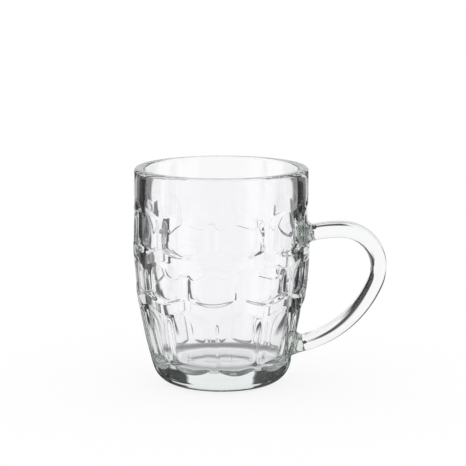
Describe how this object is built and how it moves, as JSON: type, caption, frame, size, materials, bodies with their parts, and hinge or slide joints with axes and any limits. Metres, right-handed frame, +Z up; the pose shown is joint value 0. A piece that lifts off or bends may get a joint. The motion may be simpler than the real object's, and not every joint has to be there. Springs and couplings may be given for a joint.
{
  "type": "dimpled glass beer mug",
  "caption": "Clear pressed-glass beer mug with a barrel-shaped bowl, staggered rows of dimples, a thick floor and a D-shaped handle welded on at two places.",
  "frame": {"origin": "centre of the foot on the bowl's axis, on the surface that the mug stands on", "axes": "+Z up along the bowl's axis, +X from the axis towards the handle, +Y completes the right-handed frame"},
  "size_m": [0.141, 0.0984, 0.121],
  "materials": {
    "clear_glass": "clear pressed soda glass, fire-polished, with slight waviness",
    "weld_glass": "clear soda glass, thick enough to look faintly green"
  },
  "bodies": {
    "root": {"bowl": "clear_glass", "handle": "clear_glass", "upper_weld": "weld_glass", "lower_weld": "weld_glass"}
  },
  "joints": []
}
